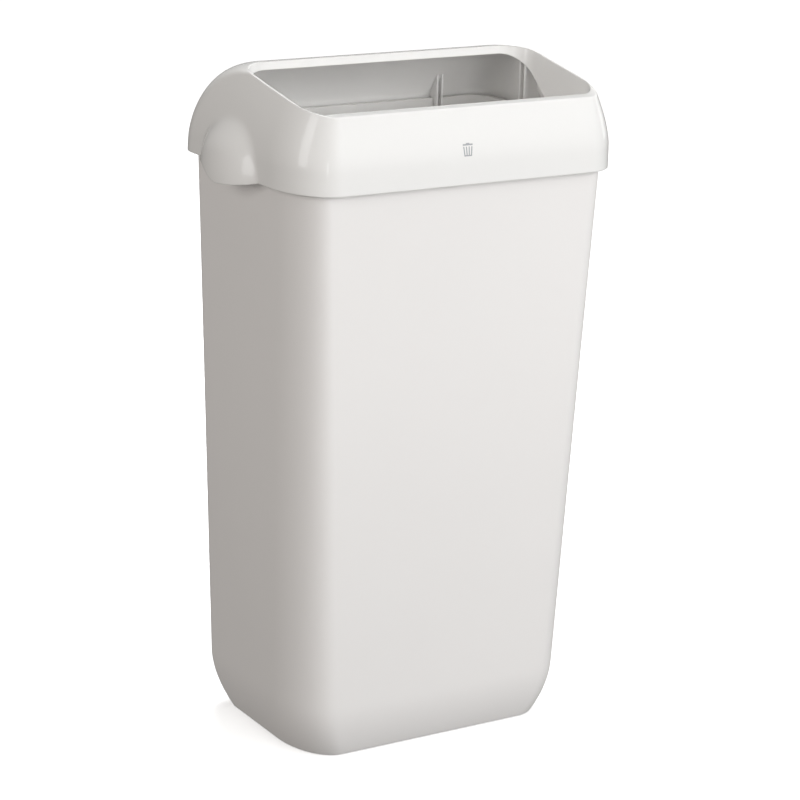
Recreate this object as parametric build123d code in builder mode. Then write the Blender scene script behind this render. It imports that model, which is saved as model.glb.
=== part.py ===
"""Tall open-top waste bin: a tapered tub with a lift-off hood and a liner ring.

Millimetres, +Z up, the front faces -Y, the origin is on the floor under the bin's centre.
"""
import os
from math import cos, radians, sin, sqrt

from build123d import *

# ---- tub -----------------------------------------------------------------------
WALL = 3.0
TUB_TOP_Z = 628.0
TUB_REF_Z = 592.6
TUB_HALF_W_BASE = 158.8
TUB_HALF_W_REF = 173.4
TUB_FRONT_BASE = -95.8
TUB_FRONT_REF = -125.4
TUB_BACK = 125.4
TUB_CORNER_BASE = (40.0, 68.0)
TUB_CORNER_REF = (26.0, 62.0)
TUB_REAR_R = 22.0
BASE_CURVE_Z = 58.7
BASE_INSET = 12.4
BASE_INSET_BACK = 26.0
BASE_THICK = 3.5
BEAD_W = 3.5
BEAD_H = 3.0
BEAD_Z = 611.0

# ---- hood ----------------------------------------------------------------------
HOOD_BOTTOM_Z = 592.6
HOOD_HALF_W = 185.0
HOOD_HALF_D = 136.4
SKIRT_TOP_Z = 616.0
HOOD_TOP_Z = 706.0
HOOD_CORNER_X = 141.0
HOOD_CORNER_Y = -66.0
HOOD_REAR_R = 35.0
SKIRT_LIFT = 6.0
SKIRT_LIFT_Y = (8.0, 54.0)
SIDE_LEAN = 17.5
FRONT_LEAN = 11.0
LEAN_CURVE = 1.6
RIM_SLOPE = 0.185
CREST_Z = 696.0
SHOULDER_CENTRE_Y = 36.0
SHOULDER_Z = 594.0
SHOULDER_STEPS = 6
SHOULDER_EASE = 0.2

# ---- mouth and chute -----------------------------------------------------------
MOUTH_HALF_W = 165.0
MOUTH_FRONT = -107.6
MOUTH_BACK = 38.0
MOUTH_CORNER = (20.0, 28.0)
MOUTH_REAR_R = 27.0
CHUTE_WALL = 2.6
CHUTE_LEAN = 0.13
CHUTE_DEPTH = 54.0
CHUTE_OVERRUN = 15.0
CHUTE_BOTTOM_Z = 636.0
CHUTE_BACK_Z = 687.0
CHUTE_SLOPE = 0.72

# ---- finger grips --------------------------------------------------------------
GRIP_Y = 18.0
GRIP_HALF_SPAN = 61.0
GRIP_BULGE = 20.0
GRIP_DROP = 0.35

# ---- liner ring and locating ribs ----------------------------------------------
RING_CLEAR = 1.5
RING_WALL = 2.5
RING_DEPTH = 14.0
RING_FLANGE = 2.5
SEAT_GAP = 0.3
RIB_T = 2.0
RIB_FOOT_Z = TUB_TOP_Z + RING_FLANGE + 2 * SEAT_GAP
RIB_TONGUE_Z = 614.0
RIB_TONGUE_W = 6.0
END_RIB_X = (109.0, 115.0)
SIDE_RIB_Y = (23.0, 32.0)
BACK_RIB_EDGE = 111.0
FRONT_RIB_EDGE = -112.0
SIDE_RIB_EDGE = 160.0

# ---- foot pads -----------------------------------------------------------------
PAD_R = 11.0
PAD_T = 3.0
PAD_STAND = 1.0
PAD_FIT = 0.1
PAD_PLACES = {
    "front_left": (-105.0, -48.0),
    "front_right": (105.0, -48.0),
    "rear_left": (-105.0, 68.0),
    "rear_right": (105.0, 68.0),
}

TAPER_W = (TUB_HALF_W_REF - TUB_HALF_W_BASE) / TUB_REF_Z
TAPER_FRONT = (TUB_FRONT_REF - TUB_FRONT_BASE) / TUB_REF_Z
TAPER_CORNER = [(ref - base) / TUB_REF_Z for base, ref in zip(TUB_CORNER_BASE, TUB_CORNER_REF)]
GRIP_R = (GRIP_HALF_SPAN**2 + GRIP_BULGE**2) / (2 * GRIP_BULGE)
GRIP_CENTRE_X = HOOD_HALF_W + GRIP_BULGE - GRIP_R


def plan_outline(plane, half_w, front, back, corner, rear_r):
    """A rectangle in plan: quarter ellipses at its front corners, quarter circles at its rear.

    corner gives the ellipse's reach along the front and along the side.
    """
    across, along = corner
    with BuildSketch(plane) as outline:
        with BuildLine():
            Line((0, front), (half_w - across, front))
            EllipticalCenterArc((half_w - across, front + along), across, along, 270, arc_size=90)
            Line((half_w, front + along), (half_w, back - rear_r))
            CenterArc((half_w - rear_r, back - rear_r), rear_r, 0, 90)
            Line((half_w - rear_r, back), (0, back))
            mirror(about=Plane.YZ)
        make_face()
    return outline.sketch


def tub_outline(z, inset=0.0):
    """The tub's section at height z, moved inwards by inset."""
    side = 0.0
    back = 0.0
    if z < BASE_CURVE_Z:
        drop = (BASE_CURVE_Z - z) / BASE_CURVE_Z
        side = BASE_INSET * drop**2
        back = BASE_INSET_BACK * drop**2
    return plan_outline(
        Plane.XY.offset(z),
        TUB_HALF_W_BASE + TAPER_W * z - side - inset,
        TUB_FRONT_BASE + TAPER_FRONT * z + side + inset,
        TUB_BACK - back - inset,
        [base + taper * z - inset for base, taper in zip(TUB_CORNER_BASE, TAPER_CORNER)],
        TUB_REAR_R - inset,
    )


def rim_z(y):
    """Height of the sloping rim at depth y."""
    return CREST_Z + RIM_SLOPE * (y - SHOULDER_CENTRE_Y)


def hood_half_width(rise, inset=0.0):
    """Half the hood's width, where rise runs from 0 at the skirt's top to 1 at the rim."""
    return HOOD_HALF_W - SIDE_LEAN * max(rise, 0.0) ** LEAN_CURVE - inset


def wall_section(rise, inset):
    """The hood's section on a plane that tips from level at the skirt to the rim's slope."""
    slope = RIM_SLOPE * rise
    middle = (0, 0, SKIRT_TOP_Z + rise * (rim_z(0) - SKIRT_TOP_Z))
    stretch = sqrt(1 + slope**2)
    half_w = hood_half_width(rise, inset)
    front = -HOOD_HALF_D + FRONT_LEAN * rise**LEAN_CURVE + inset
    return plan_outline(
        Plane(middle, x_dir=(1, 0, 0), z_dir=(0, -slope, 1)),
        half_w,
        front * stretch,
        (HOOD_HALF_D + HOOD_REAR_R) * stretch,
        (half_w - HOOD_CORNER_X, (HOOD_CORNER_Y - front) * stretch),
        HOOD_REAR_R,
    )


def shoulder_section(angle, inset):
    """A level section of the rear shoulder, which is a quarter ellipse with rounded ends."""
    z = SHOULDER_Z + (CREST_Z - SHOULDER_Z) * sin(angle) - inset * sin(angle)
    back = SHOULDER_CENTRE_Y + (HOOD_HALF_D - inset - SHOULDER_CENTRE_Y) * cos(angle)
    rise = (z - SKIRT_TOP_Z) / (rim_z(back - HOOD_REAR_R) - SKIRT_TOP_Z)
    rear_r = HOOD_REAR_R - inset
    return plan_outline(
        Plane.XY.offset(z),
        hood_half_width(rise, inset) + SHOULDER_EASE,
        -2 * HOOD_HALF_D,
        back,
        (rear_r, rear_r),
        rear_r,
    )


def hood_solid(inset=0.0, skirt_bottom=HOOD_BOTTOM_Z):
    """The hood's outer shape, or its hollow when inset is the wall thickness."""
    with BuildPart(mode=Mode.PRIVATE) as shoulder:
        for step in range(SHOULDER_STEPS + 1):
            add(shoulder_section(radians(90 * step / SHOULDER_STEPS), inset))
        loft()
        extrude(shoulder.faces().sort_by(Axis.Z)[0], amount=SHOULDER_Z - skirt_bottom + 5)
    front = -HOOD_HALF_D - 20.0
    back = HOOD_HALF_D + 20.0
    with BuildPart(mode=Mode.PRIVATE) as solid:
        add(wall_section(0.0, inset))
        extrude(amount=skirt_bottom - SKIRT_TOP_Z)
        for rise in (0.0, 0.36, 0.72, 1.08):
            add(wall_section(rise, inset))
        loft()
        with BuildSketch(Plane.YZ):
            with BuildLine():
                Polyline(
                    (front, rim_z(front) - inset),
                    (front, skirt_bottom - 1),
                    (back, skirt_bottom - 1),
                    (back, CREST_Z - inset),
                    (SHOULDER_CENTRE_Y, CREST_Z - inset),
                    close=True,
                )
            make_face()
        extrude(amount=HOOD_HALF_W + 20, both=True, mode=Mode.INTERSECT)
        add(shoulder.part, mode=Mode.INTERSECT)
    return solid.part


def tub_solid(inset, floor_z, top_z):
    """The tub's outer shape, or its hollow: curved at the base, straight above."""
    levels = [floor_z + (BASE_CURVE_Z - floor_z) * step / 4 for step in range(5)]
    with BuildPart(mode=Mode.PRIVATE) as solid:
        for z in levels:
            add(tub_outline(z, inset))
        loft()
        add(tub_outline(BASE_CURVE_Z, inset))
        add(tub_outline(top_z, inset))
        loft()
    return solid.part


def chute_solid(wall):
    """The mouth's funnel, square to the rim: it narrows downwards, wall thickness outside."""
    with BuildPart(mode=Mode.PRIVATE) as solid:
        for depth in (CHUTE_DEPTH, 0.0):
            level = Plane((0, 0, rim_z(0) - depth), x_dir=(1, 0, 0), z_dir=(0, -RIM_SLOPE, 1))
            stretch = sqrt(1 + RIM_SLOPE**2)
            lean = CHUTE_LEAN * depth
            front = (MOUTH_FRONT + lean - wall) * stretch
            back = (MOUTH_BACK + wall) * stretch
            across, along = MOUTH_CORNER
            corner = (across + wall, (along + wall) * stretch)
            add(plan_outline(level, MOUTH_HALF_W - lean + wall, front, back, corner, MOUTH_REAR_R + wall))
        loft()
        extrude(faces().sort_by(Axis.Z)[-1], amount=CHUTE_OVERRUN)
    return solid.part


def grip_solid(side, inset=0.0):
    """A domed finger grip on one side of the skirt; its lower edge drops as it bows out."""
    drop = GRIP_DROP * (GRIP_BULGE + 20)
    low_z = HOOD_BOTTOM_Z - inset
    with BuildPart(mode=Mode.PRIVATE) as solid:
        with Locations((side * GRIP_CENTRE_X, GRIP_Y, HOOD_BOTTOM_Z - 4)):
            Sphere(GRIP_R - inset)
        with BuildSketch(Plane.XZ):
            with BuildLine():
                Polyline(
                    (side * (HOOD_HALF_W - 14), low_z),
                    (side * HOOD_HALF_W, low_z),
                    (side * (HOOD_HALF_W + GRIP_BULGE + 20), low_z - drop),
                    (side * (HOOD_HALF_W + GRIP_BULGE + 20), HOOD_TOP_Z),
                    (side * (HOOD_HALF_W - 14), HOOD_TOP_Z),
                    close=True,
                )
            make_face()
        extrude(amount=2 * HOOD_HALF_D, both=True, mode=Mode.INTERSECT)
    return solid.part


def rib_solid(plane, edge, inward, wall):
    """A locating rib on plane: its foot stands above the ring, its tongue drops inside it."""
    with BuildPart(mode=Mode.PRIVATE) as rib:
        with BuildSketch(plane):
            with BuildLine():
                Polyline(
                    (edge, CHUTE_BACK_Z),
                    (edge, RIB_TONGUE_Z),
                    (edge + inward * RIB_TONGUE_W, RIB_TONGUE_Z),
                    (edge + inward * RIB_TONGUE_W, RIB_FOOT_Z),
                    (wall, RIB_FOOT_Z),
                    (wall, CHUTE_BACK_Z),
                    close=True,
                )
            make_face()
        extrude(amount=RIB_T / 2, both=True)
    return rib.part


# ---- tub -----------------------------------------------------------------------
with BuildPart() as bin_body:
    add(tub_solid(0.0, PAD_STAND, TUB_TOP_Z))
    add(tub_outline(BEAD_Z, -BEAD_W))
    extrude(amount=BEAD_H)
    add(tub_solid(WALL, PAD_STAND + BASE_THICK, TUB_TOP_Z + 1), mode=Mode.SUBTRACT)
    with BuildSketch(Plane.XY.offset(PAD_STAND)):
        with Locations(*PAD_PLACES.values()):
            Circle(PAD_R)
    extrude(amount=PAD_T - PAD_STAND, mode=Mode.SUBTRACT)

# ---- liner ring: a flange on the tub's rim and a short skirt inside it ---------
with BuildPart() as bag_ring:
    add(tub_outline(TUB_TOP_Z + SEAT_GAP))
    extrude(amount=RING_FLANGE)
    add(tub_outline(TUB_TOP_Z - RING_DEPTH, WALL + RING_CLEAR))
    extrude(amount=RING_DEPTH + SEAT_GAP + RING_FLANGE)
    add(tub_outline(TUB_TOP_Z - RING_DEPTH, WALL + RING_CLEAR + RING_WALL))
    extrude(amount=RING_DEPTH + SEAT_GAP + RING_FLANGE, mode=Mode.SUBTRACT)

# ---- hood: shell, finger grips, chute and locating ribs; the skirt steps up at the rear ----
hood_outer = hood_solid()

with BuildPart() as chute:
    add(chute_solid(CHUTE_WALL))
    with BuildSketch(Plane.YZ):
        with BuildLine():
            Polyline(
                (MOUTH_BACK + 20, CHUTE_BACK_Z),
                (MOUTH_BACK, CHUTE_BACK_Z),
                (MOUTH_BACK - (CHUTE_BACK_Z - CHUTE_BOTTOM_Z) / CHUTE_SLOPE, CHUTE_BOTTOM_Z),
                (MOUTH_FRONT - 20, CHUTE_BOTTOM_Z),
                (MOUTH_FRONT - 20, HOOD_TOP_Z),
                (MOUTH_BACK + 20, HOOD_TOP_Z),
                close=True,
            )
        make_face()
    extrude(amount=HOOD_HALF_W, both=True, mode=Mode.INTERSECT)
    add(hood_outer, mode=Mode.INTERSECT)

with BuildPart() as rear_clearance:
    start_y, end_y = SKIRT_LIFT_Y
    behind = HOOD_HALF_D + 20
    below = HOOD_BOTTOM_Z - 30
    rear_z = HOOD_BOTTOM_Z + SKIRT_LIFT
    with BuildSketch(Plane.YZ):
        with BuildLine():
            lift = Spline(
                (start_y, HOOD_BOTTOM_Z - GRIP_DROP * GRIP_BULGE),
                (end_y, rear_z),
                tangents=((1, 0), (1, 0)),
            )
            Polyline(lift @ 1, (behind, rear_z), (behind, below), (start_y, below), lift @ 0)
        make_face()
    extrude(amount=HOOD_HALF_W + 2 * GRIP_BULGE, both=True)

with BuildPart() as ribs:
    for side in (-1, 1):
        for x in END_RIB_X:
            end_plane = Plane.YZ.offset(side * x)
            add(rib_solid(end_plane, BACK_RIB_EDGE, 1, HOOD_HALF_D))
            add(rib_solid(end_plane, FRONT_RIB_EDGE, -1, -HOOD_HALF_D))
        for y in SIDE_RIB_Y:
            side_plane = Plane.XZ.offset(-y)
            add(rib_solid(side_plane, side * SIDE_RIB_EDGE, side, side * HOOD_HALF_W))
    add(hood_solid(WALL / 2), mode=Mode.INTERSECT)

with BuildPart() as lid_hood:
    add(hood_outer)
    for side in (-1, 1):
        add(grip_solid(side))
    add(hood_solid(WALL, HOOD_BOTTOM_Z - 1), mode=Mode.SUBTRACT)
    for side in (-1, 1):
        add(grip_solid(side, WALL), mode=Mode.SUBTRACT)
    add(ribs.part)
    add(chute.part)
    add(chute_solid(0.0), mode=Mode.SUBTRACT)
    add(rear_clearance.part, mode=Mode.SUBTRACT)

# ---- foot pads -----------------------------------------------------------------
os.makedirs("parts", exist_ok=True)
for place, (x, y) in PAD_PLACES.items():
    with BuildPart() as foot_pad:
        with BuildSketch():
            with Locations((x, y)):
                Circle(PAD_R - PAD_FIT)
        extrude(amount=PAD_T)
    foot_pad.part.label = f"foot_pad_{place}"
    export_step(foot_pad.part, f"parts/foot_pad_{place}.step")

bin_body.part.label = "bin_body"
bag_ring.part.label = "bag_ring"
lid_hood.part.label = "lid_hood"
export_step(bin_body.part, "parts/bin_body.step")
export_step(bag_ring.part, "parts/bag_ring.step")
export_step(lid_hood.part, "parts/lid_hood.step")
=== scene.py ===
"""Studio scene of a tall open-top waste bin: a tapered tub, a lift-off hood and a liner ring.

Shapes are worked out in millimetres and scaled to metres when a piece is made. +Z is up and the
front faces -Y.
"""
from math import asin, atan2, cos, pi, radians, sin, sqrt

import bmesh
import bpy
from mathutils import Matrix, Vector


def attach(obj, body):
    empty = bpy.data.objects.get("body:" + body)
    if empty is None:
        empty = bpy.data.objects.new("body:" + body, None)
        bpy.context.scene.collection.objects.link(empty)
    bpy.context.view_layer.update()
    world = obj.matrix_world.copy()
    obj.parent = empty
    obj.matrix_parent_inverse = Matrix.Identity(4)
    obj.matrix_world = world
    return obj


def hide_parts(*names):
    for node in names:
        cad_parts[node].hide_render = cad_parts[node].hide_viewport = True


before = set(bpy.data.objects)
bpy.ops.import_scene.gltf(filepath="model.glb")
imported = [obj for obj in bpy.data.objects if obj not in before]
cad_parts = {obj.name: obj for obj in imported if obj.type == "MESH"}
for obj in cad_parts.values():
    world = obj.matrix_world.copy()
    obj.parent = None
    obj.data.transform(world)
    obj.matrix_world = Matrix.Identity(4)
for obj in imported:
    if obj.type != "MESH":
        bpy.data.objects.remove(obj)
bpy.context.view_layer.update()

MM = 0.001

# ---- tub (mm): a pair is the value on the floor and the value at TUB_REF_Z -------
WALL = 3.0
TUB_BASE_Z = 1.0
TUB_FLOOR_Z = 4.5
TUB_TOP_Z = 628.0
TUB_REF_Z = 592.6
TUB_HALF_W = (158.8, 173.4)
TUB_FRONT = (-95.8, -125.4)
TUB_CORNER = ((40.0, 68.0), (26.0, 62.0))
TUB_BACK = 125.4
TUB_REAR_R = 22.0
BASE_CURVE_Z = 58.7
BASE_INSET = 12.4
BASE_INSET_BACK = 26.0
BEAD_Z = 611.0
BEAD_H = 3.0
BEAD_W = 3.5
TUB_BASE_ROUND = 1.6
TUB_RIM_ROUND = 1.2
TUB_FLOOR_ROUND = 9.0
UNDERSIDE_INSETS = (16.0, 8.0, 4.0, TUB_BASE_ROUND)

# ---- liner ring (mm): its skirt lies between RING_OUT and RING_IN inside the tub --
RING_SEAT_Z = 628.3
RING_TOP_Z = 630.8
RING_LOW_Z = 614.0
RING_OUT = 4.5
RING_IN = 7.0
RING_ROUND = 0.7

# ---- hood (mm) -----------------------------------------------------------------
HOOD_BOTTOM_Z = 592.6
SKIRT_TOP_Z = 616.0
HOOD_HALF_W = 185.0
HOOD_HALF_D = 136.4
HOOD_CORNER_X = 141.0
HOOD_CORNER_Y = -66.0
HOOD_REAR_R = 35.0
SKIRT_LIFT = 6.0
SKIRT_LIFT_Y = (8.0, 54.0)
SIDE_LEAN = 17.5
FRONT_LEAN = 11.0
LEAN_CURVE = 1.6
RIM_SLOPE = 0.185
CREST_Z = 696.0
SHOULDER_Y = 36.0
SHOULDER_Z = 594.0
MOUTH_HALF_W = 165.0
MOUTH_FRONT = -107.6
MOUTH_BACK = 38.0
MOUTH_CORNER = (20.0, 28.0)
MOUTH_REAR_R = 27.0
CHUTE_WALL = 2.0
CHUTE_LEAN = 0.13
CHUTE_BOTTOM_Z = 636.0
CHUTE_BACK_Z = 687.0
CHUTE_SLOPE = 0.72

# ---- hood edges (mm) -----------------------------------------------------------
# The rim is a band between the wall and the mouth. Its outer and inner roundings differ from
# front to side to back, and it sinks by BAND_DROP towards the mouth at the front.
SKIRT_EDGE = 1.1
BAND_DROP = 3.0
OUTER_ROUND_FRONT = 3.2
OUTER_ROUND_SIDE = 1.1
INNER_ROUND_FRONT = 1.9
INNER_ROUND_SIDE = 1.0
INNER_ROUND_BACK = 1.3
MAX_ROUND_SHARE = 0.45
WALL_HEIGHT = 75.0
CHUTE_ROOT = 4.5
# How far short of the rim the shoulder's level crest stops, as a share of the wall's rise, and
# the share at which the wall's inner face starts at the front, the sides and the back.
BACK_RISE_GAP = 0.0012
INNER_RISE = (0.97, 0.93, 0.995)

# ---- finger grips (mm): parts of a sphere, with a hollow of GRIP_EASE round them -----
GRIP_Y = 18.0
GRIP_Z = 588.6
GRIP_HALF_SPAN = 61.0
GRIP_BULGE = 20.0
GRIP_R = (GRIP_HALF_SPAN**2 + GRIP_BULGE**2) / (2 * GRIP_BULGE)
GRIP_X = HOOD_HALF_W + GRIP_BULGE - GRIP_R
GRIP_DROP = 0.35
GRIP_LEAN = 1.7
GRIP_EASE = 0.6
GRIP_EASE_FRONT = 1.2
GRIP_EASE_TOP = 2.6
GRIP_EASE_REACH = 60.0
GRIP_EASE_TOP_Z = (600.0, 640.0)


def rim_z(y):
    """Height of the sloping rim at depth y; level behind the shoulder's crest."""
    return CREST_Z + RIM_SLOPE * min(y - SHOULDER_Y, 0.0)


def mix(a, b, t):
    return a + (b - a) * t


def smooth(t):
    """0 to 1 with level ends."""
    t = min(max(t, 0.0), 1.0)
    return t * t * (3 - 2 * t)


# ---- loops round the bin -------------------------------------------------------
# Every loop is a rounded rectangle sampled at the same stations, so any two loops join
# into a strip. A station is (side, t): the four sides and four corners in turn.
SIDE_STEPS = {"front": 44, "right": 84, "back": 44, "left": 84}
CORNER_STEPS = 20
CORNER_AFTER = {
    "front": "front_right",
    "right": "rear_right",
    "back": "rear_left",
    "left": "front_left",
}
STATIONS = []
for flat, corner in CORNER_AFTER.items():
    STATIONS += [(flat, k / SIDE_STEPS[flat]) for k in range(SIDE_STEPS[flat])]
    STATIONS += [(corner, k / CORNER_STEPS) for k in range(CORNER_STEPS)]


def plan_point(station, half_w, front, back, corner, rear_r):
    """A station's place on a rectangle with elliptical front corners and round rear ones.

    corner gives the ellipse's reach along the front and along the side.
    """
    part, t = station
    across, along = corner
    if part == "front":
        return mix(across - half_w, half_w - across, t), front
    if part == "right":
        return half_w, mix(front + along, back - rear_r, t)
    if part == "back":
        return mix(half_w - rear_r, rear_r - half_w, t), back
    if part == "left":
        return -half_w, mix(back - rear_r, front + along, t)
    turn = t * pi / 2
    if part == "front_right":
        return half_w - across + across * sin(turn), front + along - along * cos(turn)
    if part == "rear_right":
        return half_w - rear_r + rear_r * cos(turn), back - rear_r + rear_r * sin(turn)
    if part == "rear_left":
        return rear_r - half_w - rear_r * sin(turn), back - rear_r + rear_r * cos(turn)
    return across - half_w - across * cos(turn), front + along - along * sin(turn)


def facing(station):
    """How much a station faces the front, the sides and the back: three shares of one."""
    part, t = station
    shares = {"front": (1, 0, 0), "right": (0, 1, 0), "back": (0, 0, 1), "left": (0, 1, 0)}
    ends = {
        "front_right": ("front", "right"),
        "rear_right": ("right", "back"),
        "rear_left": ("back", "left"),
        "front_left": ("left", "front"),
    }
    if part in shares:
        return shares[part]
    first, last = (shares[name] for name in ends[part])
    return tuple(mix(a, b, smooth(t)) for a, b in zip(first, last))


def bezier(a, corner, b, steps):
    """Points between a and b, without them, on a curve that rounds off the corner."""
    points = []
    for k in range(1, steps):
        t = k / steps
        points.append(a.lerp(corner, t).lerp(corner.lerp(b, t), t))
    return points


def mesh_piece(name, bm, body, material, nodes=(), smooth_angle=40.0):
    """Turns a bmesh in millimetres into a shaded piece that rides on a body."""
    bmesh.ops.scale(bm, vec=(MM, MM, MM), verts=bm.verts)
    bmesh.ops.recalc_face_normals(bm, faces=bm.faces)
    mesh = bpy.data.meshes.new(name)
    bm.to_mesh(mesh)
    bm.free()
    piece = bpy.data.objects.new(name, mesh)
    bpy.context.collection.objects.link(piece)
    mesh.shade_smooth()
    mesh.set_sharp_from_angle(angle=radians(smooth_angle))
    mesh.materials.append(material)
    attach(piece, body)
    if nodes:
        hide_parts(*nodes)
    return piece


def skin(bm, sections, closed):
    """Joins the sections, one per station, into strips; each section is a list of points."""
    grid = [[bm.verts.new(point) for point in section] for section in sections]
    count = len(grid[0])
    for i, here in enumerate(grid):
        there = grid[(i + 1) % len(grid)]
        for j in range(count if closed else count - 1):
            k = (j + 1) % count
            bm.faces.new((here[j], there[j], there[k], here[k]))
    return grid


# ---- hood ----------------------------------------------------------------------
def shoulder_y(z, inset):
    """Depth of the rear shoulder, a quarter ellipse, at height z."""
    if z <= SHOULDER_Z:
        return HOOD_HALF_D - inset
    up = min((z - SHOULDER_Z) / (CREST_Z - SHOULDER_Z - inset), 1.0)
    return SHOULDER_Y + (HOOD_HALF_D - inset - SHOULDER_Y) * sqrt(1 - up * up)


def wall_point(station, rise, inset):
    """A point of the hood above its skirt: rise is 0 at the skirt's top and 1 at the rim."""
    slope = RIM_SLOPE * rise
    z0 = SKIRT_TOP_Z + rise * (rim_z(0) - SKIRT_TOP_Z - inset)
    across = HOOD_HALF_D - inset - SHOULDER_Y
    up = CREST_Z - SHOULDER_Z - inset
    reach = sqrt(up * up + (slope * across) ** 2)
    height = min((z0 + slope * SHOULDER_Y - SHOULDER_Z) / reach, 1.0)
    angle = min(atan2(slope * across, up) + asin(height), pi / 2)
    lean = rise**LEAN_CURVE
    half_w = HOOD_HALF_W - SIDE_LEAN * lean - inset
    front = -HOOD_HALF_D + FRONT_LEAN * lean + inset
    back = SHOULDER_Y + across * cos(angle)
    corner = (half_w - HOOD_CORNER_X, HOOD_CORNER_Y - front)
    x, y = plan_point(station, half_w, front, back, corner, HOOD_REAR_R - inset)
    return swell(x, y, z0 + slope * y, inset, SIDE_LEAN * lean)


def skirt_point(station, z, inset):
    """A point of the hood's upright skirt at height z."""
    half_w = HOOD_HALF_W - inset
    front = inset - HOOD_HALF_D
    corner = (half_w - HOOD_CORNER_X, HOOD_CORNER_Y - front)
    x, y = plan_point(station, half_w, front, shoulder_y(z, inset), corner, HOOD_REAR_R - inset)
    return swell(x, y, z, inset, 0.0)


def dome_x(y, z, inset):
    """Half-width of the finger grip's dome at a depth and height, or 0 off the dome."""
    left = (GRIP_R - inset) ** 2 - (y - GRIP_Y) ** 2 - (z - GRIP_Z) ** 2
    return GRIP_X + sqrt(left) if left > 0 else 0.0


def swell(x, y, z, inset, lean):
    """Pushes a point of the wall out to the grip's dome, which leans in faster than the wall.

    The dome runs into the wall through a small hollow, which is wider at its front and top.
    """
    side = abs(x)
    dome = dome_x(y, z, inset) - GRIP_LEAN * lean
    if side < MOUTH_HALF_W - 10 or dome < 0.0:
        return Vector((x, y, z))
    ease_start_z, ease_end_z = GRIP_EASE_TOP_Z
    front = smooth((GRIP_Y - y) / GRIP_EASE_REACH)
    top = smooth((z - ease_start_z) / (ease_end_z - ease_start_z))
    ease = GRIP_EASE + GRIP_EASE_FRONT * front + GRIP_EASE_TOP * top
    near = max(ease - abs(side - dome), 0.0) / ease
    side = max(side, dome) + near * near * ease / 4
    return Vector((side if x > 0 else -side, y, z))


def skirt_bottom(station):
    """Height of the skirt's lower edge: it drops where the grip bows out and steps up behind."""
    corner = (HOOD_HALF_W - HOOD_CORNER_X, HOOD_CORNER_Y + HOOD_HALF_D)
    x, y = plan_point(station, HOOD_HALF_W, -HOOD_HALF_D, HOOD_HALF_D, corner, HOOD_REAR_R)
    bulge = 0.0
    if abs(x) > HOOD_HALF_W - 1:
        bulge = max(dome_x(y, GRIP_Z, 0.0) - HOOD_HALF_W, 0.0)
    low = HOOD_BOTTOM_Z - GRIP_DROP * bulge
    start, end = SKIRT_LIFT_Y
    if y < start:
        return low
    step = smooth((y - start) / (end - start))
    return max(low, mix(HOOD_BOTTOM_Z - GRIP_DROP * GRIP_BULGE, HOOD_BOTTOM_Z + SKIRT_LIFT, step))


def chute_low_z(y):
    """Height of the chute's lower edge: shallow at the back, deep at the front."""
    return max(CHUTE_BACK_Z - CHUTE_SLOPE * (MOUTH_BACK - y), CHUTE_BOTTOM_Z)


def chute_point(station, depth, wall):
    """A point of the chute's wall, depth below the rim; its front and sides lean inwards."""
    lean = CHUTE_LEAN * depth
    x, y = plan_point(
        station,
        MOUTH_HALF_W - lean + wall,
        MOUTH_FRONT + lean - wall,
        MOUTH_BACK + wall,
        [reach + wall for reach in MOUTH_CORNER],
        MOUTH_REAR_R + wall,
    )
    return Vector((x, y, rim_z(y) - depth))


def hood_section(station):
    """The hood's closed section at one station: up the outside, down the chute, back inside."""
    front, side, back = facing(station)
    low = skirt_bottom(station)
    edge = SKIRT_EDGE

    # up the skirt and the wall to the rim
    points = [skirt_point(station, mix(low + edge, SKIRT_TOP_Z, k / 12), 0.0) for k in range(12)]
    rim_rise = 1.0 - BACK_RISE_GAP * back
    outer_round = OUTER_ROUND_FRONT * front + OUTER_ROUND_SIDE * side
    rise_end = rim_rise - outer_round / WALL_HEIGHT
    for k in range(40):
        step = k / 39
        points.append(wall_point(station, rise_end * (1 - (1 - step) ** 2), 0.0))

    # over the rim's band, which sinks towards the mouth at the front
    rim = wall_point(station, rim_rise, 0.0)
    sunk = BAND_DROP * front
    mouth = chute_point(station, sunk, 0.0)
    band = mouth - rim
    on_band = rim + band * min(MAX_ROUND_SHARE, outer_round / band.length)
    inner_round = INNER_ROUND_FRONT * front + INNER_ROUND_SIDE * side + INNER_ROUND_BACK * back
    near_mouth = mouth - band * min(MAX_ROUND_SHARE, inner_round / band.length)
    points += bezier(points[-1], rim, on_band, 6)
    points += [on_band.lerp(near_mouth, k / 3) for k in range(4)]
    in_chute = chute_point(station, sunk + inner_round, 0.0)
    points += bezier(near_mouth, mouth, in_chute, 6)

    # down the chute, round its lower edge and up behind it
    bottom = rim_z(mouth.y) - chute_low_z(mouth.y)
    half = CHUTE_WALL / 2
    for k in range(13):
        points.append(chute_point(station, mix(sunk + inner_round, bottom - half, k / 12), 0.0))
    middle = chute_point(station, bottom, half)
    points += bezier(points[-1], chute_point(station, bottom, 0.0), middle, 4)
    turned = chute_point(station, bottom - half, CHUTE_WALL)
    points.append(middle)
    points += bezier(middle, chute_point(station, bottom, CHUTE_WALL), turned, 4)
    for k in range(9):
        points.append(chute_point(station, mix(bottom - half, sunk + CHUTE_ROOT, k / 8), CHUTE_WALL))

    # down the inside of the wall and the skirt, and round the skirt's lower edge
    rise_in = sum(share * rise for share, rise in zip((front, side, back), INNER_RISE))
    for k in range(25):
        step = 1 - k / 24
        points.append(wall_point(station, rise_in * (1 - (1 - step) ** 2), WALL))
    points += [skirt_point(station, mix(SKIRT_TOP_Z, low + edge, k / 8), WALL) for k in range(1, 9)]
    edge_in = skirt_point(station, low, WALL - edge)
    edge_out = skirt_point(station, low, edge)
    points += bezier(points[-1], skirt_point(station, low, WALL), edge_in, 4)
    points += [edge_in, edge_out]
    points += bezier(edge_out, skirt_point(station, low, 0.0), points[0], 4)
    return points


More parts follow.
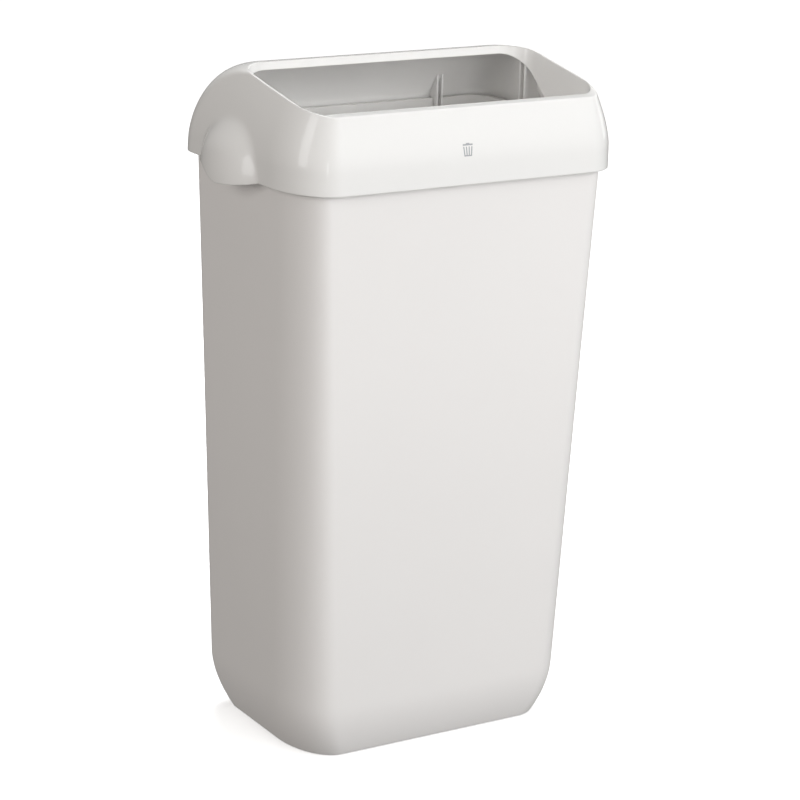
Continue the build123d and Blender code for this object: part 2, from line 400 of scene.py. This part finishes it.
def hood_mesh():
    bm = bmesh.new()
    skin(bm, [hood_section(station) for station in STATIONS], closed=True)
    return bm


# ---- hood ribs (mm) ------------------------------------------------------------
# A rib grows from the hood's wall, BURY deep in it. Its foot stands above the liner ring, and a
# tongue at its free edge drops inside the ring.
RIB_T = 2.0
RIB_FOOT_Z = 631.2
RIB_TONGUE_Z = 614.0
RIB_TONGUE_W = 6.0
END_RIB_X = (109.0, 115.0)
SIDE_RIB_Y = (23.0, 32.0)
BACK_RIB_EDGE = 111.0
FRONT_RIB_EDGE = -112.0
SIDE_RIB_EDGE = 160.0
FRONT_RIB_TOP_Z = 662.0
SIDE_RIB_GAP = 6.0
SIDE_RIB_LAP = 0.6
SIDE_RIB_STEP = 1.5
RIB_ROUND = 0.35
BURY = 1.5


def rib(bm, outline, place):
    """One rib: a flat outline of (reach, height) points, made RIB_T thick with eased edges."""
    sides = []
    for offset in (-RIB_T / 2, RIB_T / 2):
        sides.append([bm.verts.new(place(reach, z, offset)) for reach, z in outline])
    faces = [bm.faces.new(sides[0]), bm.faces.new(list(reversed(sides[1])))]
    count = len(outline)
    for i in range(count):
        j = (i + 1) % count
        faces.append(bm.faces.new((sides[0][j], sides[0][i], sides[1][i], sides[1][j])))
    edges = {edge for face in faces[:2] for edge in face.edges}
    bmesh.ops.bevel(bm, geom=list(edges), offset=RIB_ROUND, segments=2, profile=0.5, affect="EDGES")


def foot_outline(edge, inward, wall_points):
    """A rib's outline: its free edge, its tongue, its foot, then up the wall it grows from."""
    tip = edge + inward * RIB_TONGUE_W
    return [(edge, RIB_TONGUE_Z), (tip, RIB_TONGUE_Z), (tip, RIB_FOOT_Z)] + wall_points


def back_rib_outline():
    """A rear rib, which meets the shoulder's inside at its top."""
    top = SHOULDER_Z + (CREST_Z - SHOULDER_Z - BURY) * sqrt(
        1 - ((BACK_RIB_EDGE - SHOULDER_Y) / (HOOD_HALF_D - BURY - SHOULDER_Y)) ** 2
    )
    wall = []
    for k in range(6):
        z = mix(RIB_FOOT_Z, top, k / 5)
        wall.append((shoulder_y(z, BURY), z))
    return foot_outline(BACK_RIB_EDGE, 1, wall)


def front_rib_outline():
    """A front rib, with a flat top."""
    top = FRONT_RIB_TOP_Z
    wall = []
    for k in range(6):
        z = mix(RIB_FOOT_Z, top, k / 5)
        rise = (z - SKIRT_TOP_Z) / (rim_z(-HOOD_HALF_D) - SKIRT_TOP_Z)
        wall.append((-HOOD_HALF_D + FRONT_LEAN * rise**LEAN_CURVE + BURY, z))
    return foot_outline(FRONT_RIB_EDGE, -1, wall + [(FRONT_RIB_EDGE, top)])


def side_rib_outline(y):
    """A side rib, which runs up to the chute's wall and ends under its lower edge."""
    top = rim_z(y) - SIDE_RIB_GAP
    edge_top = chute_low_z(y) + SIDE_RIB_LAP
    wall = []
    for k in range(6):
        z = mix(RIB_FOOT_Z, top, k / 5)
        rise = (z - SKIRT_TOP_Z) / (rim_z(y) - SKIRT_TOP_Z)
        wall.append((HOOD_HALF_W - SIDE_LEAN * rise**LEAN_CURVE - BURY, z))
    cheek = MOUTH_HALF_W + CHUTE_WALL / 2
    wall.append((cheek - CHUTE_LEAN * (rim_z(y) - top), top))
    wall.append((cheek - CHUTE_LEAN * (rim_z(y) - edge_top), edge_top))
    return foot_outline(SIDE_RIB_EDGE, 1, wall + [(SIDE_RIB_EDGE, edge_top - SIDE_RIB_STEP)])


def add_ribs(bm):
    for hand in (-1, 1):
        for x in END_RIB_X:
            rib(bm, back_rib_outline(), lambda reach, z, offset: (hand * x + offset, reach, z))
            rib(bm, front_rib_outline(), lambda reach, z, offset: (hand * x + offset, reach, z))
        for y in SIDE_RIB_Y:
            rib(bm, side_rib_outline(y), lambda reach, z, offset: (hand * reach, y + offset, z))


# ---- tub -----------------------------------------------------------------------
def tub_point(station, z, inset):
    """A point of the tub's wall at height z, moved inwards by inset."""
    t = z / TUB_REF_Z
    drop = max((BASE_CURVE_Z - z) / BASE_CURVE_Z, 0.0) ** 2
    x, y = plan_point(
        station,
        mix(*TUB_HALF_W, t) - BASE_INSET * drop - inset,
        mix(*TUB_FRONT, t) + BASE_INSET * drop + inset,
        TUB_BACK - BASE_INSET_BACK * drop - inset,
        [mix(base, ref, t) - inset for base, ref in zip(*TUB_CORNER)],
        TUB_REAR_R - inset * 0.8,
    )
    return Vector((x, y, z))


def tub_section(station):
    """The tub's open section: from the underside, up the outside, over the rim, down to the floor."""
    low = TUB_BASE_Z + TUB_BASE_ROUND
    points = [tub_point(station, TUB_BASE_Z, inset) for inset in UNDERSIDE_INSETS]
    points += bezier(points[-1], tub_point(station, TUB_BASE_Z, 0.0), tub_point(station, low, 0.0), 5)
    points += [tub_point(station, mix(low, BASE_CURVE_Z, k / 14), 0.0) for k in range(15)]
    points += [tub_point(station, mix(BASE_CURVE_Z, BEAD_Z - 1, k / 16), 0.0) for k in range(1, 17)]

    # the bead under the skirt: height above BEAD_Z and reach
    bead = ((0.0, 0.6), (0.2, 2.8), (1.0, BEAD_W), (2.0, BEAD_W), (2.8, 2.8), (BEAD_H, 0.6))
    points += [tub_point(station, BEAD_Z + up, -reach) for up, reach in bead]

    # over the rim and down the inside
    turn = TUB_RIM_ROUND
    points += [tub_point(station, z, 0.0) for z in (BEAD_Z + BEAD_H + 1, TUB_TOP_Z - turn)]
    rim_out = tub_point(station, TUB_TOP_Z, turn)
    points += bezier(points[-1], tub_point(station, TUB_TOP_Z, 0.0), rim_out, 4)
    rim_in = tub_point(station, TUB_TOP_Z, WALL - turn)
    points += [rim_out, rim_in]
    inside = tub_point(station, TUB_TOP_Z - turn, WALL)
    points += bezier(rim_in, tub_point(station, TUB_TOP_Z, WALL), inside, 4)
    points += [tub_point(station, mix(TUB_TOP_Z - turn, BASE_CURVE_Z, k / 16), WALL) for k in range(17)]

    # round the floor's edge
    low = TUB_FLOOR_Z + TUB_FLOOR_ROUND
    points += [tub_point(station, mix(BASE_CURVE_Z, low, k / 10), WALL) for k in range(1, 11)]
    floor_edge = tub_point(station, TUB_FLOOR_Z, WALL + TUB_FLOOR_ROUND)
    points += bezier(points[-1], tub_point(station, TUB_FLOOR_Z, WALL), floor_edge, 7)
    points += [floor_edge, tub_point(station, TUB_FLOOR_Z, WALL + TUB_FLOOR_ROUND + 4)]
    return points


def tub_mesh():
    bm = bmesh.new()
    grid = skin(bm, [tub_section(station) for station in STATIONS], closed=False)
    bm.faces.new([column[0] for column in grid])
    bm.faces.new([column[-1] for column in reversed(grid)])
    return bm


# ---- liner ring ----------------------------------------------------------------
def ring_section(station):
    """The ring's closed section: a flange on the tub's rim and a short skirt inside it."""
    corners = (
        (RING_SEAT_Z, 0.0),
        (RING_TOP_Z, 0.0),
        (RING_TOP_Z, RING_IN),
        (RING_LOW_Z, RING_IN),
        (RING_LOW_Z, RING_OUT),
        (RING_SEAT_Z, RING_OUT),
    )
    points = []
    spots = [Vector((z, inset)) for z, inset in corners]
    for i, spot in enumerate(spots):
        before = spots[i - 1]
        after = spots[(i + 1) % len(spots)]
        start = spot + (before - spot).normalized() * RING_ROUND
        end = spot + (after - spot).normalized() * RING_ROUND
        for place in [start] + bezier(start, spot, end, 4) + [end]:
            at_rim = tub_point(station, TUB_TOP_Z, place.y)
            points.append(Vector((at_rim.x, at_rim.y, place.x)))
    return points


def ring_mesh():
    bm = bmesh.new()
    skin(bm, [ring_section(station) for station in STATIONS], closed=True)
    return bm


# ---- printed mark (mm): a film of ink, placed by the middle of its foot ------------
MARK_X = -6.0
MARK_Z = 620.8
MARK_LINE = 1.15
MARK_FILM = 0.12
MARK_BODY_H = 9.2
MARK_BODY_HALF_W = (3.6, 4.6)
MARK_UPRIGHTS = (-1.0, -0.33, 0.33, 1.0)
# The lid and its knob: height, half width and thickness.
MARK_BARS = ((11.0, 5.5, 1.4), (12.1, 1.9, 1.0))


def front_face_y(z):
    """Depth of the hood's front face at height z, above the skirt."""
    fall = rim_z(0) - SKIRT_TOP_Z - RIM_SLOPE * HOOD_HALF_D
    return -HOOD_HALF_D + FRONT_LEAN * ((z - SKIRT_TOP_Z) / fall) ** LEAN_CURVE


def printed_bar(bm, low, high, left, right):
    """A film of ink between two heights; left and right give its edges at a height."""
    rows = []
    for k in range(7):
        up = mix(low, high, k / 6)
        z = MARK_Z + up
        film = front_face_y(z) - MARK_FILM
        wall = film + 4 * MARK_FILM
        edges = ((left(up), film), (right(up), film), (right(up), wall), (left(up), wall))
        rows.append([bm.verts.new((MARK_X + x, y, z)) for x, y in edges])
    for below, above in zip(rows, rows[1:]):
        for i in range(4):
            j = (i + 1) % 4
            bm.faces.new((below[i], below[j], above[j], above[i]))
    bm.faces.new(rows[0][::-1])
    bm.faces.new(rows[-1])


def mark_mesh():
    """A plain pictogram of a waste bin: a tapered body with two slats, a lid and a knob."""
    bm = bmesh.new()
    half = MARK_LINE / 2

    def body_edge(up):
        """Half the body's width at a height: it widens upwards."""
        return mix(*MARK_BODY_HALF_W, up / MARK_BODY_H)

    def upright(share):
        """A line at a share of the way from the body's middle to its edge."""
        printed_bar(
            bm,
            MARK_LINE,
            MARK_BODY_H,
            lambda up: share * body_edge(up) - half,
            lambda up: share * body_edge(up) + half,
        )

    printed_bar(bm, 0.0, MARK_LINE, lambda up: -body_edge(up) - half, lambda up: body_edge(up) + half)
    for share in MARK_UPRIGHTS:
        upright(share)
    for up, reach, thick in MARK_BARS:
        printed_bar(bm, up - thick / 2, up + thick / 2, lambda _: -reach, lambda _: reach)
    return bm


# ---- materials -----------------------------------------------------------------
PLASTIC_IOR = 1.49
COAT_ROUGHNESS = 0.05
FLOW_SCALE = 5.0
MARKS_SCALE = 42.0
GRAIN_DEPTH = 0.0002


def moulded_plastic(name, colour, roughness, grain, grain_size, spread, coat=0.0):
    """Moulded plastic: a fine skin grain, slow flow marks and faint handling marks in its gloss.

    grain is the depth of the skin's grain, spread how far the flow marks darken the colour and
    coat the weight of a clear gloss over the skin.
    """
    material = bpy.data.materials.new(name)
    material.use_nodes = True
    nodes = material.node_tree.nodes
    links = material.node_tree.links
    surface = nodes["Principled BSDF"]
    surface.inputs["IOR"].default_value = PLASTIC_IOR
    surface.inputs["Coat Weight"].default_value = coat
    surface.inputs["Coat Roughness"].default_value = COAT_ROUGHNESS
    place = nodes.new("ShaderNodeTexCoord")

    flow = nodes.new("ShaderNodeTexNoise")
    flow.inputs["Scale"].default_value = FLOW_SCALE
    flow.inputs["Detail"].default_value = 3.0
    links.new(place.outputs["Object"], flow.inputs["Vector"])
    tint = nodes.new("ShaderNodeValToRGB")
    tint.color_ramp.elements[0].position = 0.3
    tint.color_ramp.elements[0].color = (*[c * (1 - spread) for c in colour], 1.0)
    tint.color_ramp.elements[1].position = 0.7
    tint.color_ramp.elements[1].color = (*colour, 1.0)
    links.new(flow.outputs["Fac"], tint.inputs["Fac"])
    links.new(tint.outputs["Color"], surface.inputs["Base Color"])

    marks = nodes.new("ShaderNodeTexNoise")
    marks.inputs["Scale"].default_value = MARKS_SCALE
    marks.inputs["Detail"].default_value = 8.0
    marks.inputs["Roughness"].default_value = 0.65
    links.new(place.outputs["Object"], marks.inputs["Vector"])
    gloss = nodes.new("ShaderNodeMapRange")
    gloss.inputs["From Min"].default_value = 0.35
    gloss.inputs["From Max"].default_value = 0.7
    gloss.inputs["To Min"].default_value = roughness * 0.9
    gloss.inputs["To Max"].default_value = roughness * 1.15
    links.new(marks.outputs["Fac"], gloss.inputs["Value"])
    links.new(gloss.outputs["Result"], surface.inputs["Roughness"])

    skin_grain = nodes.new("ShaderNodeTexNoise")
    skin_grain.inputs["Scale"].default_value = grain_size
    skin_grain.inputs["Detail"].default_value = 4.0
    links.new(place.outputs["Object"], skin_grain.inputs["Vector"])
    bump = nodes.new("ShaderNodeBump")
    bump.inputs["Strength"].default_value = grain
    bump.inputs["Distance"].default_value = GRAIN_DEPTH
    links.new(skin_grain.outputs["Fac"], bump.inputs["Height"])
    links.new(bump.outputs["Normal"], surface.inputs["Normal"])
    return material


# Glossy hood, duller tub and ring, dull dark pads with a pitted face, and grey printing ink.
hood_plastic = moulded_plastic("hood_plastic", (0.895, 0.888, 0.874), 0.4, 0.03, 700.0, 0.012, coat=0.8)
tub_plastic = moulded_plastic("tub_plastic", (0.888, 0.869, 0.856), 0.42, 0.12, 1400.0, 0.015)
ring_plastic = moulded_plastic("ring_plastic", (0.82, 0.81, 0.79), 0.45, 0.1, 1400.0, 0.02)
pad_rubber = moulded_plastic("pad_rubber", (0.035, 0.035, 0.036), 0.85, 0.6, 900.0, 0.25)
mark_ink = moulded_plastic("mark_ink", (0.42, 0.43, 0.45), 0.45, 0.1, 2500.0, 0.06)

# ---- pieces --------------------------------------------------------------------
hood_bm = hood_mesh()
add_ribs(hood_bm)
mesh_piece("hood_shell", hood_bm, "hood", hood_plastic, ["lid_hood"])
mesh_piece("tub_shell", tub_mesh(), "tub", tub_plastic, ["bin_body"])
mesh_piece("liner_ring_moulding", ring_mesh(), "liner_ring", ring_plastic, ["bag_ring"])
mesh_piece("printed_mark", mark_mesh(), "hood", mark_ink)
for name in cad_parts:
    if name.startswith("foot_pad"):
        pad = bpy.data.objects[name]
        for place in pad.material_slots:
            place.material = pad_rubber

# ---- camera --------------------------------------------------------------------
CAMERA_PLACE = (-1.32824, -2.24107, 1.08435)
LENS_MM = 118.06
SENSOR_MM = 36.0
YAW = radians(30.72)
PITCH = radians(15.90)
ROLL = radians(0.99)
forward = Vector((sin(YAW) * cos(PITCH), cos(YAW) * cos(PITCH), -sin(PITCH)))
right = Vector((cos(YAW), -sin(YAW), 0.0))
up = right.cross(forward)
rolled_right = right * cos(ROLL) + up * sin(ROLL)
rolled_up = up * cos(ROLL) - right * sin(ROLL)
cam_data = bpy.data.cameras.new("camera")
cam_data.lens = LENS_MM
cam_data.sensor_width = SENSOR_MM
cam = bpy.data.objects.new("camera", cam_data)
bpy.context.collection.objects.link(cam)
basis = Matrix((rolled_right, rolled_up, -forward)).transposed().to_4x4()
cam.matrix_world = Matrix.Translation(CAMERA_PLACE) @ basis
bpy.context.scene.camera = cam

# ---- studio --------------------------------------------------------------------
COOL = (0.985, 0.995, 1.0)
WARM = (1.0, 0.965, 0.93)
MIDDLE = (0.0, 0.0, 0.4)
# Soft boxes round the bin: name, azimuth in degrees (0 in front, positive to the right),
# distance and height in metres, size, brightness and colour. All face the bin's middle. They
# light the surfaces but don't show in the gloss.
SOFT_BOXES = (
    ("front_low", 10.0, 2.7, 0.75, (1.8, 1.2), 3.63, COOL),
    ("front_high", 10.0, 2.7, 1.45, (1.8, 1.2), 3.38, COOL),
    ("right", 45.0, 2.7, 1.45, (1.8, 1.2), 3.01, COOL),
    ("left_low", -75.0, 2.7, 0.75, (1.8, 1.2), 1.1, WARM),
    ("left", -75.0, 2.7, 1.45, (1.8, 1.2), 2.95, WARM),
    ("rear_right", 145.0, 1.6, 2.4, (1.4, 1.4), 8.4, COOL),
    ("overhead", 0.0, 0.3, 3.0, (1.2, 1.2), 1.4, COOL),
    ("rear_high", 180.0, 1.0, 2.5, (1.2, 1.2), 1.2, COOL),
)
# Panels that only show as reflections, so the gloss on the hood can be placed on its own.
PANELS = (
    ("gloss_front", -36.5, 3.0, 0.5, (0.25, 0.85), 4.0, COOL),
    ("gloss_left", -91.0, 3.0, 1.45, (0.9, 1.9), 2.2, COOL),
    ("gloss_right", 95.0, 3.0, 1.3, (1.2, 1.8), 1.2, COOL),
)
# The floor's side in metres, its glow near the bin and far off, and the distances of the two.
# AIR_GLOW is the even light from all round.
FLOOR_SIZE = 400.0
FLOOR_GLOW = (0.5, 0.9)
GLOW_REACH = (0.3, 1.4)
AIR_GLOW = 0.18
FLOOR_GREY = 0.93


def soft_box(name, azimuth, distance, height, size, brightness, colour):
    """An area light turned to the bin's middle, as bright to look at whatever its size."""
    data = bpy.data.lights.new(name, "AREA")
    data.shape = "RECTANGLE"
    data.size, data.size_y = size
    data.energy = brightness * pi * size[0] * size[1]
    data.color = colour
    lamp = bpy.data.objects.new(name, data)
    bpy.context.collection.objects.link(lamp)
    angle = radians(azimuth)
    place = Vector((distance * sin(angle), -distance * cos(angle), height))
    turned = (Vector(MIDDLE) - place).to_track_quat("-Z", "Y").to_matrix().to_4x4()
    lamp.matrix_world = Matrix.Translation(place) @ turned
    return lamp


def studio_floor():
    """A pale floor whose glow grows with distance, and which throws no light on the bin."""
    bpy.ops.mesh.primitive_plane_add(size=FLOOR_SIZE, location=(0, 0, 0))
    floor = bpy.context.object
    floor.name = "floor"
    floor.visible_diffuse = False
    floor.visible_glossy = False
    paint = bpy.data.materials.new("floor_paint")
    paint.use_nodes = True
    nodes = paint.node_tree.nodes
    links = paint.node_tree.links
    surface = nodes["Principled BSDF"]
    surface.inputs["Base Color"].default_value = (FLOOR_GREY, FLOOR_GREY, FLOOR_GREY, 1.0)
    surface.inputs["Roughness"].default_value = 0.9
    surface.inputs["Specular IOR Level"].default_value = 0.1
    surface.inputs["Emission Color"].default_value = (1.0, 1.0, 1.0, 1.0)
    place = nodes.new("ShaderNodeTexCoord")
    reach = nodes.new("ShaderNodeVectorMath")
    reach.operation = "LENGTH"
    glow = nodes.new("ShaderNodeMapRange")
    glow.inputs["From Min"].default_value = GLOW_REACH[0]
    glow.inputs["From Max"].default_value = GLOW_REACH[1]
    glow.inputs["To Min"].default_value = FLOOR_GLOW[0]
    glow.inputs["To Max"].default_value = FLOOR_GLOW[1]
    links.new(place.outputs["Object"], reach.inputs[0])
    links.new(reach.outputs["Value"], glow.inputs["Value"])
    links.new(glow.outputs["Result"], surface.inputs["Emission Strength"])
    floor.data.materials.append(paint)


bpy.context.scene.view_settings.view_transform = "Standard"
world = bpy.data.worlds.new("studio_air")
bpy.context.scene.world = world
world.use_nodes = True
world.node_tree.nodes["Background"].inputs["Color"].default_value = (*WARM, 1.0)
world.node_tree.nodes["Background"].inputs["Strength"].default_value = AIR_GLOW
studio_floor()
for box in SOFT_BOXES:
    soft_box(*box).visible_glossy = False
for panel in PANELS:
    soft_box(*panel).visible_diffuse = False
